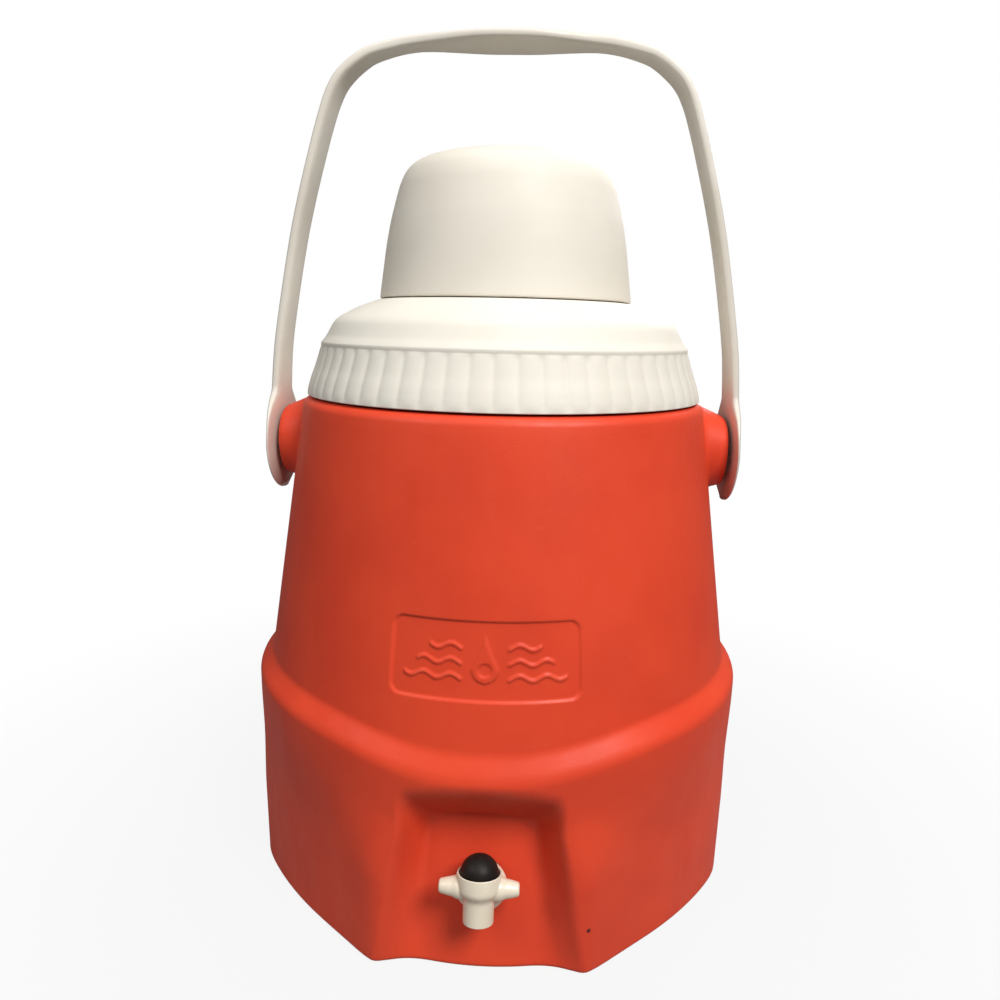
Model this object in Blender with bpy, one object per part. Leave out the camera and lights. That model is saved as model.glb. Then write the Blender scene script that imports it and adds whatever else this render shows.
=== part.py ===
"""Insulated drink dispenser: double-walled jug, screw lid, cup, bail handle and push-button tap.

Metres, +Z up. The origin is the middle of the underside, the tap faces -Y, and the handle swings about X.
"""

from math import cos, degrees, exp, pi, radians, sin, sqrt, tan

import bmesh
import bpy
from mathutils import Matrix, Vector

MM = 0.001
GAP = 0.3 * MM  # clearance between neighbouring pieces
STEPS = 48  # facets round the large turned pieces
SMALL_STEPS = 24  # facets round the tap's pieces

# Body: a cone that stands on a soft octagon
BODY_TOP = 222.0 * MM
CONE_TOP_R = 93.3 * MM
CONE_SLOPE = 0.149  # radius gained for each metre down
BASE_FACE_R = 113.9 * MM  # axis to the middle of an octagon's side
BASE_CORNER_R = 117.85 * MM
FRONT_CORNER_EXTRA = 4.0 * MM
CORNER_SOFTNESS = 2.8  # degrees
MORE_SOFTNESS = 7.0  # degrees more, just under the ledge
SOFTER_FROM = 38.0 * MM  # the corners soften between these two heights
SOFTER_TO = 88.0 * MM
EVEN_TURNS = (0, 22.5, 67.5, 112.5, 180)  # degrees to the corners of an even octagon
TRUE_TURNS = (0, 20.2, 66.5, 112.5, 180)  # degrees to the corners here
BASE_FLARE = 1.010  # the octagon is this much wider just under the ledge
LEDGE_R = 117.0 * MM  # the ledge reaches at least this far out
SWELL_FROM = 46.0 * MM  # the sides swell out to the ledge between these two heights
SWELL_TO = 88.6 * MM
LEDGE_TOP = 103.0 * MM
LEDGE_BOTTOM = 96.6 * MM
LEDGE_DIP_TOP = 7.8 * MM  # how far the ledge dips over the tap
LEDGE_DIP_BOTTOM = 8.7 * MM
BOTTOM_ROUND = 3.0 * MM
SHELL_WALL = 2.5 * MM
FOOT_WIDTH = 12.5 * MM
NECK_OPENING_R = 79.4 * MM

# Recess in front, whose floor leans back at the top
LEAN = radians(12.0)
RECESS_FOOT_Y = -111.4 * MM
RECESS_CROWN = 3.0 * MM  # the floor bulges this much between its two valleys
RECESS_FLOOR_TOP = 59.0 * MM
RECESS_CEILING_RISE = 19.0 * MM
RECESS_FLOOR_HALF = (27.6 * MM, 22.0 * MM)  # at the foot, at the top
RECESS_MOUTH_HALF = (41.0 * MM, 32.7 * MM)
RECESS_MOUTH_Y = (-110.8 * MM, -113.3 * MM)
RECESS_CEILING_Y = -114.8 * MM  # where the ceiling reaches the front
RECESS_FRONT_Y = -132.0 * MM  # the cutting form reaches this far out

# Tank
TANK_R = 92.5 * MM
TANK_FLOOR = 16.5 * MM
TANK_WALL = 2.5 * MM
TANK_SHOULDER = 100.0 * MM
NECK_R = 78.0 * MM
NECK_WALL = 3.0 * MM
NECK_TOP = 245.0 * MM
FLANGE_R = 84.0 * MM

# Four-start thread of the lid
THREAD_STARTS = 4
THREAD_LEAD = 16.0 * MM
THREAD_FOOT = 229.0 * MM

# Lid, cup and vent
LID_FOOT = 222.8 * MM
LID_R = 92.0 * MM
CUP_FOOT = 266.0 * MM
CUP_TOP = 329.4 * MM
CUP_WALL = 2.2 * MM
SPIGOT_R = 53.6 * MM

# Handle
PIVOT_Z = 199.6 * MM
BOSS_R = 17.5 * MM
BOSS_FACE = 105.2 * MM
STRAP_THICK = 5.0 * MM
STRAP_HALF = 9.7 * MM
GRIP_HALF = 12.5 * MM
PADDLE_R = 25.0 * MM
PADDLE_DOME = 3.0 * MM  # how far the paddle's outer face falls away at its rim
STUD_R = 6.0 * MM

# Tap, in its own frame: the shank runs along local +Y through the wall, the barrel along local Z
TAP_Z = 34.9 * MM
BARREL_OUT = 13.5 * MM
BARREL_R = 8.7 * MM
SPOUT_R = 6.4 * MM
RIM_Z = 10.4 * MM
SPOUT_FOOT = -8.8 * MM
WING_Z = 4.4 * MM
WING_R = 3.4 * MM
WING_ROOT_R = 4.6 * MM
WING_SPAN = 31.4 * MM
DOME_R = 7.7 * MM
DOME_HEIGHT = 7.2 * MM
SHANK_R = 5.6 * MM
SHANK_LENGTH = 25.5 * MM
TAP_FLANGE_R = 10.7 * MM


def clear_scene():
    for obj in list(bpy.data.objects):
        bpy.data.objects.remove(obj, do_unlink=True)


def new_collection(name):
    collection = bpy.data.collections.new(name)
    bpy.context.scene.collection.children.link(collection)
    return collection


def new_material(name, colour, roughness):
    material = bpy.data.materials.new(name)
    material.use_nodes = True
    shader = material.node_tree.nodes["Principled BSDF"]
    shader.inputs["Base Color"].default_value = (*colour, 1.0)
    shader.inputs["Roughness"].default_value = roughness
    shader.inputs["Metallic"].default_value = 0.0
    material.diffuse_color = (*colour, 1.0)
    return material


def add_object(name, mesh, collection):
    obj = bpy.data.objects.new(name, mesh)
    collection.objects.link(obj)
    return obj


def piece(name, mesh, finish, frame=None):
    """A node of the object, with a material of its own."""
    colour, roughness = FINISHES[finish]
    obj = add_object(name, mesh, parts)
    mesh.materials.clear()
    mesh.materials.append(new_material(name + "_" + finish, colour, roughness))
    if frame is not None:
        obj.matrix_world = frame
    return obj


def cutter(name, mesh, frame=None):
    obj = add_object(name, mesh, cutters)
    obj.hide_render = True
    obj.display_type = "WIRE"
    if frame is not None:
        obj.matrix_world = frame
    return obj


def boolean(obj, other, operation):
    modifier = obj.modifiers.new(operation.lower() + "_" + other.name, "BOOLEAN")
    modifier.operation = operation
    modifier.solver = "EXACT"
    modifier.object = other


def mesh_of(bm, name):
    bmesh.ops.recalc_face_normals(bm, faces=bm.faces)
    mesh = bpy.data.meshes.new(name)
    bm.to_mesh(mesh)
    bm.free()
    mesh.shade_smooth()
    mesh.set_sharp_from_angle(angle=radians(35))
    return mesh


def turned(name, profile, steps=STEPS):
    """A mesh turned about Z from (radius, height) points, which run clockwise as seen from -Y."""
    closed = profile[0][0] > 0
    bm = bmesh.new()
    verts = [bm.verts.new((r, 0.0, z)) for r, z in profile]
    edges = [bm.edges.new(pair) for pair in zip(verts, verts[1:])]
    if closed:
        edges.append(bm.edges.new((verts[-1], verts[0])))
    bmesh.ops.spin(
        bm, geom=verts + edges, cent=(0, 0, 0), axis=(0, 0, 1), angle=2 * pi, steps=steps, use_merge=True
    )
    bmesh.ops.remove_doubles(bm, verts=bm.verts, dist=1e-6)
    return mesh_of(bm, name)


def lofted(name, rings, mirrored=False):
    """A closed mesh through rings of equally many points, capped at both ends."""
    bm = bmesh.new()
    rows = [[bm.verts.new(point) for point in ring] for ring in rings]
    count = len(rows[0])
    for low, high in zip(rows, rows[1:]):
        for i in range(count):
            j = (i + 1) % count
            a, b, c, d = low[i], low[j], high[j], high[i]
            if not mirrored:
                bm.faces.new((a, b, c, d))
            elif i < count // 2:  # the two halves of the ring split their faces the same way
                bm.faces.new((a, b, c))
                bm.faces.new((a, c, d))
            else:
                bm.faces.new((a, b, d))
                bm.faces.new((b, c, d))
    bm.faces.new(rows[0])
    bm.faces.new(rows[-1])
    return mesh_of(bm, name)


def hulled(name, points):
    bm = bmesh.new()
    for point in points:
        bm.verts.new(point)
    bmesh.ops.convex_hull(bm, input=bm.verts)
    return mesh_of(bm, name)


def cylinder(name, radius, low, high, steps=SMALL_STEPS):
    """Along Z, from low to high."""
    bm = bmesh.new()
    bmesh.ops.create_cone(
        bm, cap_ends=True, segments=steps, radius1=radius, radius2=radius, depth=high - low,
        matrix=Matrix.Translation((0, 0, (low + high) / 2)),
    )
    return mesh_of(bm, name)


def ring_mesh(name, inner, outer, low, high, steps=SMALL_STEPS):
    return turned(name, [(outer, high), (outer, low), (inner, low), (inner, high)], steps)


# Body

def front_weight(angle):
    """1 over the tap, falling to a half at 22 degrees to either side; the angle is from -Y."""
    return exp(-0.693 * (abs(angle) / radians(22)) ** 2.5)


def bent(angle, given, wanted):
    """The angle mapped from the given turns to the wanted ones, on either side of -Y."""
    size = degrees(abs(angle))
    for a, b, c, d in zip(given, given[1:], wanted, wanted[1:]):
        if size <= b + 1e-6:
            return radians(c + (size - a) * (d - c) / (b - a)) * (1 if angle >= 0 else -1)
    return angle


def ease(low, high, value):
    """0 below low, 1 above high and a smooth rise between."""
    t = min(max((value - low) / (high - low), 0), 1)
    return t * t * (3 - 2 * t)


def octagon_radius(angle, height):
    """A soft octagon whose sides are arcs and whose corners are rounded; the angle is from -Y."""
    angle = bent(angle, TRUE_TURNS, EVEN_TURNS)
    side = radians(45)
    off = abs(((angle + side / 2) % side) - side / 2)
    half = side / 2
    near_ledge = ease(SOFTER_FROM, SOFTER_TO, height)
    softness = radians(CORNER_SOFTNESS + MORE_SOFTNESS * near_ledge)
    from_corner = sqrt((half - off) ** 2 + softness**2)
    off = half - from_corner
    extra = FRONT_CORNER_EXTRA * (1 - 0.8 * near_ledge)
    corner = BASE_CORNER_R + extra * exp(-(((abs(angle) - half) / radians(15)) ** 2))
    centre = (corner**2 - BASE_FACE_R**2) / (2 * (BASE_FACE_R - corner * cos(half)))
    arc = BASE_FACE_R + centre
    radius = -centre * cos(off) + sqrt(arc**2 - (centre * sin(off)) ** 2)
    radius *= 1 + (BASE_FLARE - 1) * min(max(height / LEDGE_BOTTOM, 0), 1)
    return radius + ease(SWELL_FROM, SWELL_TO, height) * max(LEDGE_R - radius, 0)


def cone_radius(height):
    return CONE_TOP_R + CONE_SLOPE * (BODY_TOP - height)


def wall_profile(angle, inset):
    """(radius, height) points up the body at this angle, moved in by the inset."""
    weight = front_weight(angle)
    crease = LEDGE_TOP - LEDGE_DIP_TOP * weight
    edge = LEDGE_BOTTOM - LEDGE_DIP_BOTTOM * weight
    wide = octagon_radius(angle, edge)
    points = [(octagon_radius(angle, z), z) for z in (14 * MM, 38 * MM, 54 * MM, 68 * MM)]
    points += [
        (wide, edge - 9 * MM),
        (wide - 0.4 * MM, edge - 4 * MM),
        (wide - 1.6 * MM, edge),
        (cone_radius(crease) + 1.4 * MM, crease - 1.2 * MM),
        (cone_radius(crease) + 0.3 * MM, crease + 1.5 * MM),
        (cone_radius(214 * MM), 214 * MM),
    ]
    return [(r - inset, z) for r, z in points]


def ring_at(heights_and_radii, index):
    return [
        Vector((sin(a) * rows[index][0], -cos(a) * rows[index][0], rows[index][1]))
        for a, rows in heights_and_radii
    ]


def body_form(name, foot, inset, crown):
    """The body's form from foot to crown, each a function of the angle that gives (radius, height) points."""
    columns = []
    for i in range(STEPS):
        even = 2 * pi * i / STEPS
        angle = bent(even if even <= pi else even - 2 * pi, EVEN_TURNS, TRUE_TURNS)
        columns.append((angle, foot(angle) + wall_profile(angle, inset) + crown(angle)))
    return lofted(name, [ring_at(columns, k) for k in range(len(columns[0][1]))], mirrored=True)


def outer_foot(angle):
    radius = octagon_radius(angle, 0)
    turns = [radians(t) for t in (0, 45, 90)]
    return [
        (radius - BOTTOM_ROUND * (1 - sin(t)), BOTTOM_ROUND * (1 - cos(t)))
        for t in turns
    ]


def outer_crown(angle):
    edge = 4 * MM
    turns = [radians(t) for t in (0, 45, 90)]
    top = cone_radius(BODY_TOP)
    return [(top - edge * (1 - cos(t)), BODY_TOP - edge * (1 - sin(t))) for t in turns]


def cavity_foot(angle):
    radius = octagon_radius(angle, 0)
    return [
        (radius - FOOT_WIDTH, -1 * MM),
        (radius - FOOT_WIDTH, SHELL_WALL),
        (radius - 7 * MM, SHELL_WALL + 0.1 * MM),
        (radius - 3.2 * MM, SHELL_WALL + 3 * MM),
    ]


def cavity_crown(angle):
    top = BODY_TOP - SHELL_WALL
    return [
        (cone_radius(BODY_TOP) - 7 * MM, top),
        (NECK_OPENING_R, top + 0.05 * MM),
        (NECK_OPENING_R, BODY_TOP + 2 * MM),
    ]


def foam_foot(angle):
    radius = octagon_radius(angle, 0)
    return [(radius - 7.6 * MM, 5.7 * MM), (radius - 4.5 * MM, 7 * MM)]


def recess_form(name, grow):
    """The space in front of the leaning floor and under the sloping ceiling, moved into the body by grow."""
    def between(ends, share):
        return ends[0] + (ends[1] - ends[0]) * share

    rings = []
    top = RECESS_FLOOR_TOP + 0.5 * grow
    levels = [(-2 * MM, 0.0, 0.0)] + [(top * up, up, 0.0) for up in (0.2, 0.4, 0.6, 0.8, 1.0)]
    rise = RECESS_CEILING_RISE + 0.5 * grow
    levels += [(top + rise * out, 1.0, out) for out in (0.35, 0.65, 0.85, 1.0)]
    for height, up, out in levels:
        crown = RECESS_CROWN * (1 - 0.3 * up) * (1 - out)
        floor_y = RECESS_FOOT_Y + min(height, top) * tan(LEAN)
        floor_y += (RECESS_CEILING_Y - floor_y) * out
        valley = Vector((between(RECESS_FLOOR_HALF, up) + 2.5 * MM * out, floor_y + crown))
        mouth = Vector((between(RECESS_MOUTH_HALF, up) - 6 * MM * out**3, between(RECESS_MOUTH_Y, up)))
        beyond = valley + 1.4 * (mouth - valley)
        beyond.y = min(beyond.y, RECESS_MOUTH_Y[1] - 5.5 * MM) if out else beyond.y
        shift = Vector((grow * between((0.14, 0.5), up), grow))
        half = [
            Vector((beyond.x + shift.x, RECESS_FRONT_Y)),
            beyond + shift,
            valley + shift,
            Vector((0.45 * valley.x, floor_y + 0.12 * crown + grow)),
        ]
        points = half + [Vector((-p.x, p.y)) for p in reversed(half)]
        rings.append([Vector((p.x, p.y, height)) for p in points])
    return lofted(name, rings, mirrored=True)


def boss_form(name, side, grow):
    """A handle boss, round outside, with a shoulder that runs up to the top of the body."""
    points = []
    for i in range(28):
        t = 2 * pi * i / 28
        face, root = BOSS_R + grow, BOSS_R + 3 * MM + grow
        points.append((side * BOSS_FACE, face * sin(t), PIVOT_Z + face * cos(t)))
        points.append((side * (89.5 * MM - grow), root * sin(t), PIVOT_Z + 0.85 * root * cos(t)))
    for y in (-16 * MM, 16 * MM):
        points.append((side * 91 * MM, y, BODY_TOP - 3.5 * MM))
    return hulled(name, points)


def along_x(side):
    """The frame whose Z runs outwards along X from the pivot's height on the given side."""
    return Matrix.Translation((0, 0, PIVOT_Z)) @ Matrix.Rotation(side * pi / 2, 4, "Y")


def make_shell():
    shell = piece("outer_shell", body_form("outer_shell", outer_foot, 0, outer_crown), "orange")
    cavity = cutter("shell_cavity", body_form("shell_cavity", cavity_foot, SHELL_WALL, cavity_crown))
    boolean(cavity, cutter("recess_inside", recess_form("recess_inside", SHELL_WALL)), "DIFFERENCE")
    boolean(shell, cutter("recess_outside", recess_form("recess_outside", 0)), "DIFFERENCE")
    boolean(shell, cavity, "DIFFERENCE")
    for side in (-1, 1):
        boss = cutter("boss_%d" % side, boss_form("boss", side, 0))
        boolean(shell, boss, "UNION")
        socket = turned(
            "socket",
            [(0, 110 * MM), (12.4 * MM, 110 * MM), (12.4 * MM, 103.4 * MM), (9 * MM, 103.4 * MM),
             (9 * MM, 91.8 * MM), (0, 91.8 * MM)],
            SMALL_STEPS,
        )
        boolean(shell, cutter("socket_%d" % side, socket, along_x(side)), "DIFFERENCE")
    hole = cylinder("shell_tap_hole", SHANK_R + 0.6 * MM, -8 * MM, 5 * MM)
    boolean(shell, cutter("shell_tap_hole", hole, tap_axis()), "DIFFERENCE")


def make_base_cover():
    def ring(inset, height):
        points = []
        for i in range(STEPS):
            even = 2 * pi * i / STEPS
            angle = bent(even if even <= pi else even - 2 * pi, EVEN_TURNS, TRUE_TURNS)
            radius = octagon_radius(angle, 0) - inset
            points.append(Vector((sin(angle) * radius, -cos(angle) * radius, height)))
        return points

    rings = [
        ring(FOOT_WIDTH + GAP, 0),
        ring(FOOT_WIDTH + GAP, SHELL_WALL + GAP),
        ring(FOOT_WIDTH - 3 * MM, SHELL_WALL + GAP + 0.05 * MM),
        ring(FOOT_WIDTH - 3 * MM, 5.2 * MM),
    ]
    cover = piece("base_cover", lofted("base_cover", rings), "orange")
    groove = ring_mesh("base_groove", 62 * MM, 70 * MM, -1 * MM, 1.6 * MM, STEPS)
    boolean(cover, cutter("base_groove", groove), "DIFFERENCE")
    place = Matrix.Translation((0, 42 * MM, 0))
    hole = turned(
        "fill_hole",
        [(0, 6 * MM), (7 * MM, 6 * MM), (7 * MM, 2.2 * MM), (11 * MM, 2.2 * MM),
         (11 * MM, -1 * MM), (0, -1 * MM)],
        SMALL_STEPS,
    )
    boolean(cover, cutter("fill_hole", hole, place), "DIFFERENCE")
    plug = turned(
        "foam_fill_plug",
        [(0, 5.1 * MM), (6.6 * MM, 5.1 * MM), (6.6 * MM, 1.9 * MM), (10.6 * MM, 1.9 * MM),
         (10.6 * MM, 0.4 * MM), (0, 0.4 * MM)],
        SMALL_STEPS,
    )
    piece("foam_fill_plug", plug, "black", place)


def tank_outline(grow):
    """Outer (radius, height) points of the tank from its shoulder down to its floor, moved out by grow."""
    return [
        (81.5 * MM + grow, 212 * MM),
        (TANK_R + grow, TANK_SHOULDER),
        (TANK_R + grow, TANK_FLOOR + 7 * MM),
        (TANK_R - 2 * MM + grow, TANK_FLOOR + 2 * MM - 0.7 * grow),
        (TANK_R - 7 * MM, TANK_FLOOR - grow),
        (0, TANK_FLOOR - grow),
    ]


def make_foam():
    def crown(angle):
        return [(cone_radius(BODY_TOP) - 4.4 * MM, 215.6 * MM)]

    inset = SHELL_WALL + GAP
    foam = piece("insulation_foam", body_form("insulation_foam", foam_foot, inset, crown), "foam")
    boolean(foam, cutter("recess_foam", recess_form("recess_foam", inset + 1.5 * MM)), "DIFFERENCE")
    space = turned("tank_space", [(0, 218 * MM), (81.5 * MM + GAP, 218 * MM)] + tank_outline(GAP))
    boolean(foam, cutter("tank_space", space), "DIFFERENCE")
    for side in (-1, 1):
        boolean(foam, cutter("boss_space_%d" % side, boss_form("boss_space", side, GAP)), "DIFFERENCE")
    hole = turned(
        "foam_tap_hole",
        [(0, 20 * MM), (12.4 * MM, 20 * MM), (12.4 * MM, 8.2 * MM), (8.8 * MM, 8.2 * MM),
         (8.8 * MM, -4 * MM), (0, -4 * MM)],
        SMALL_STEPS,
    )
    boolean(foam, cutter("foam_tap_hole", hole, tap_axis()), "DIFFERENCE")


def thread_form(name, root_r, crest_r, first_height, sweep):
    """Helical ridges, one for each start, swept through an angle and buried at the root."""
    bm = bmesh.new()
    spans = max(3, round(degrees(sweep) / 10))
    for start in range(THREAD_STARTS):
        rows = []
        for i in range(spans + 1):
            turn = sweep * i / spans
            angle = turn + 2 * pi * start / THREAD_STARTS
            height = first_height + THREAD_LEAD * turn / (2 * pi)
            section = ((root_r, -1.3 * MM), (crest_r, -0.5 * MM), (crest_r, 0.5 * MM), (root_r, 1.3 * MM))
            rows.append([bm.verts.new((r * cos(angle), r * sin(angle), height + z)) for r, z in section])
        for low, high in zip(rows, rows[1:]):
            for i in range(4):
                j = (i + 1) % 4
                bm.faces.new((low[i], low[j], high[j], high[i]))
        bm.faces.new(rows[0])
        bm.faces.new(rows[-1])
    return mesh_of(bm, name)


def make_tank():
    wall = TANK_WALL
    outside = [
        (NECK_R - 0.8 * MM, NECK_TOP),
        (NECK_R, NECK_TOP - 0.8 * MM),
        (NECK_R, 219.0 * MM),
        (FLANGE_R, 219.0 * MM),
        (FLANGE_R, 216.0 * MM),
        (81.5 * MM, 216.0 * MM),
    ] + tank_outline(0)
    inside = [
        (0, TANK_FLOOR + wall),
        (TANK_R - 9 * MM, TANK_FLOOR + wall),
        (TANK_R - wall - 1.6 * MM, TANK_FLOOR + wall + 1.6 * MM),
        (TANK_R - wall, TANK_FLOOR + 9 * MM),
        (TANK_R - wall, TANK_SHOULDER),
        (81.5 * MM - wall, 212 * MM),
        (NECK_R - NECK_WALL, 219.0 * MM),
        (NECK_R - NECK_WALL, NECK_TOP),
    ]
    bm_profile = outside[:-1] + [outside[-1]] + inside
    tank = piece("inner_liner", turned_open(bm_profile, "inner_liner"), "white")
    pad = cylinder("tap_pad", 12 * MM, 8.6 * MM, 17.2 * MM)
    boolean(tank, cutter("tap_pad", pad, tap_axis()), "UNION")
    ridges = thread_form("neck_thread", NECK_R - 0.6 * MM, NECK_R + 1.7 * MM, THREAD_FOOT, radians(150))
    boolean(tank, cutter("neck_thread", ridges), "UNION")
    hole = cylinder("tank_tap_hole", SHANK_R + 0.6 * MM, 4 * MM, 26 * MM)
    boolean(tank, cutter("tank_tap_hole", hole, tap_axis()), "DIFFERENCE")


def turned_open(profile, name, steps=STEPS):
    """Turned from a profile that meets the axis in two places, between its outer and its inner run."""
    bm = bmesh.new()
    verts = [bm.verts.new((r, 0.0, z)) for r, z in profile]
    edges = []
    for a, b in zip(verts, verts[1:]):
        if a.co.x > 0 or b.co.x > 0:
            edges.append(bm.edges.new((a, b)))
    edges.append(bm.edges.new((verts[-1], verts[0])))
    bmesh.ops.spin(
        bm, geom=verts + edges, cent=(0, 0, 0), axis=(0, 0, 1), angle=2 * pi, steps=steps, use_merge=True
    )
    bmesh.ops.remove_doubles(bm, verts=bm.verts, dist=1e-6)
    return mesh_of(bm, name)


# Lid, cup and vent

def make_lid():
    profile = [
        (LID_R, LID_FOOT),
        (89.2 * MM, LID_FOOT),
        (83.2 * MM, 241.5 * MM),
        (82.0 * MM, 241.5 * MM),
        (82.0 * MM, 226.0 * MM),
        (80.4 * MM, 226.0 * MM),
        (80.4 * MM, 250.2 * MM),
        (77.2 * MM, 253.2 * MM),
        (66.9 * MM, 259.6 * MM),
        (57.5 * MM, 263.0 * MM),
        (8.4 * MM, 263.0 * MM),
        (8.4 * MM, 265.6 * MM),
        (51.4 * MM, 265.6 * MM),
        (51.4 * MM, 276.0 * MM),
        (SPIGOT_R, 276.0 * MM),
        (SPIGOT_R, 265.6 * MM),
        (59.0 * MM, 265.6 * MM),
        (68.3 * MM, 262.4 * MM),
        (78.4 * MM, 256.6 * MM),
        (80.0 * MM, 254.2 * MM),
        (82.9 * MM, 248.6 * MM),
        (85.2 * MM, 245.6 * MM),
        (86.6 * MM, 239.7 * MM),
        (89.9 * MM, 230.9 * MM),
    ]
    lid = piece("lid_shell", turned("lid_shell", profile[::-1]), "white")
    ridges = thread_form("lid_thread", 80.9 * MM, 78.6 * MM, THREAD_FOOT + 2 * MM, radians(60))
    boolean(lid, cutter("lid_thread", ridges), "UNION")

    inner = [
        (8.0 * MM, 266.0 * MM),
        (8.0 * MM, 238.0 * MM),
        (72.0 * MM, 238.0 * MM),
        (72.0 * MM, 249.6 * MM),
        (79.6 * MM, 249.6 * MM),
        (79.6 * MM, 247.6 * MM),
        (74.4 * MM, 247.6 * MM),
        (74.4 * MM, 236.0 * MM),
        (5.5 * MM, 236.0 * MM),
        (5.5 * MM, 266.0 * MM),
    ]
    piece("lid_inner", turned("lid_inner", inner, SMALL_STEPS), "white")

    foam = [
        (57.0 * MM, 262.6 * MM),
        (66.4 * MM, 259.2 * MM),
        (71.6 * MM, 255.6 * MM),
        (71.6 * MM, 238.3 * MM),
        (8.7 * MM, 238.3 * MM),
        (8.7 * MM, 262.6 * MM),
    ]
    piece("lid_foam", turned("lid_foam", foam, SMALL_STEPS), "foam")
    gasket = ring_mesh("lid_gasket", NECK_R - NECK_WALL + 0.5 * MM, 79.4 * MM, NECK_TOP + GAP, 247.3 * MM)
    piece("lid_gasket", gasket, "rubber")


def make_vent():
    plug = [
        (0, 272.4 * MM),
        (8.2 * MM, 272.4 * MM),
        (9.4 * MM, 271.4 * MM),
        (9.4 * MM, 267.6 * MM),
        (5.1 * MM, 267.6 * MM),
        (5.1 * MM, 250.5 * MM),
        (4.3 * MM, 249.5 * MM),
        (0, 249.5 * MM),
    ]
    piece("vent_plug", turned("vent_plug", plug, SMALL_STEPS), "white")
    seal = ring_mesh("vent_seal", 5.5 * MM, 8.8 * MM, 266.3 * MM, 267.3 * MM)
    piece("vent_seal", seal, "rubber")


def make_cup():
    outside = [
        (0, CUP_TOP),
        (18.0 * MM, 329.1 * MM),
        (30.0 * MM, 328.1 * MM),
        (38.2 * MM, 326.3 * MM),
        (43.6 * MM, 323.6 * MM),
        (47.2 * MM, 319.4 * MM),
        (50.3 * MM, 311.0 * MM),
        (53.4 * MM, 299.0 * MM),
        (56.4 * MM, 281.0 * MM),
        (58.3 * MM, CUP_FOOT),
    ]
    inside = [(58.3 * MM - CUP_WALL, CUP_FOOT)]
    for before, point, after in zip(outside[:-2], outside[1:-1], outside[2:]):
        along = Vector(after) - Vector(before)
        inside.insert(1, tuple(Vector(point) + CUP_WALL * Vector((along.y, -along.x)).normalized()))
    inside.append((0, CUP_TOP - CUP_WALL))
    piece("drinking_cup", turned_open(outside + inside, "drinking_cup"), "white")


# Handle

def catmull(points, samples):
    """Points along a smooth curve that passes through the given ones."""
    ends = [2 * points[0] - points[1]] + points + [2 * points[-1] - points[-2]]
    curve = []
    for a, b, c, d in zip(ends, ends[1:], ends[2:], ends[3:]):
        for i in range(samples):
            t = i / samples
            bend = (2 * a - 5 * b + 4 * c - d) * t**2 + (3 * b - a - 3 * c + d) * t**3
            curve.append(0.5 * (2 * b + (c - a) * t + bend))
    curve.append(points[-1])
    return curve


def handle_outline():
    """The strap's outer line in the XZ plane, from the left foot over the top to the right foot."""
    right = [
        (112.6, 174.6), (112.6, 177.4), (112.6, 183.0), (112.5, 191.0), (112.4, 199.6), (110.9, 222.0),
        (105.3, 266.4), (97.5, 304.0), (86.4, 343.2), (76.6, 363.2), (59.2, 375.2), (32.0, 379.3),
        (0.0, 379.8),
    ]
    half = catmull([Vector((x * MM, z * MM)) for x, z in right], 3)
    left = [Vector((-p.x, p.y)) for p in half]
    return left + half[-2::-1]


def strap_half_width(point):
    x, z = abs(point.x), point.y
    if z < PIVOT_Z:
        return sqrt(max((3.5 * MM) ** 2, PADDLE_R**2 - (z - PIVOT_Z) ** 2))
    paddle = (PADDLE_R - STRAP_HALF) * exp(-(((z - PIVOT_Z) / (20 * MM)) ** 2))
    grip = 0.0
    if z > 300 * MM:
        away = min(max((x - 30 * MM) / (34 * MM), 0), 1)
        grip = (GRIP_HALF - STRAP_HALF) * (1 - away * away * (3 - 2 * away))
    return STRAP_HALF + paddle + grip


def make_handle():
    line = handle_outline()
    rings = []
    for i, point in enumerate(line):
        ahead, behind = line[min(i + 1, len(line) - 1)], line[max(i - 1, 0)]
        along = (ahead - behind).normalized()
        inward = Vector((along.y, -along.x))
        half = strap_half_width(point)
        round_off = 1.4 * MM
        section = [
            (0, -half + round_off), (0, 0), (0, half - round_off),
            (round_off, half), (STRAP_THICK - round_off, half),
            (STRAP_THICK, half - round_off), (STRAP_THICK, 0), (STRAP_THICK, -half + round_off),
            (STRAP_THICK - round_off, -half), (round_off, -half),
        ]
        below = min(point.y - PIVOT_Z, 0)
        near_pivot = 1 - ease(PIVOT_Z + 4 * MM, PIVOT_Z + 52 * MM, point.y)
        ring = []
        for depth, across in section:
            fall = PADDLE_DOME * near_pivot * (across**2 + below**2) / PADDLE_R**2
            depth += fall * (1 - depth / STRAP_THICK)
            ring.append(Vector((point.x + inward.x * depth, across, point.y + inward.y * depth)))
        rings.append(ring)
    handle = piece("handle", lofted("handle", rings), "white")
    stud = [
        (0, 109.5 * MM), (STUD_R, 109.5 * MM), (STUD_R, 96.9 * MM), (7.3 * MM, 96.9 * MM),
        (7.3 * MM, 95.8 * MM), (5.6 * MM, 93.0 * MM), (0, 93.0 * MM),
    ]
    for side in (-1, 1):
        pin = cutter("stud_%d" % side, turned("stud", stud, SMALL_STEPS), along_x(side))
        boolean(handle, pin, "UNION")
    bush = [
        (12.0 * MM, 105.2 * MM), (12.0 * MM, 103.7 * MM), (8.7 * MM, 103.7 * MM), (8.7 * MM, 97.2 * MM),
        (6.4 * MM, 97.2 * MM), (6.4 * MM, 105.2 * MM),
    ]
    for side, name in ((-1, "pivot_bush_left"), (1, "pivot_bush_right")):
        piece(name, turned(name, bush, SMALL_STEPS), "white", along_x(side))


# Tap

def tap_frame():
    seat = Vector((0, RECESS_FOOT_Y + TAP_Z * tan(LEAN), TAP_Z))
    return Matrix.Translation(seat) @ Matrix.Rotation(-LEAN, 4, "X")


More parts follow.
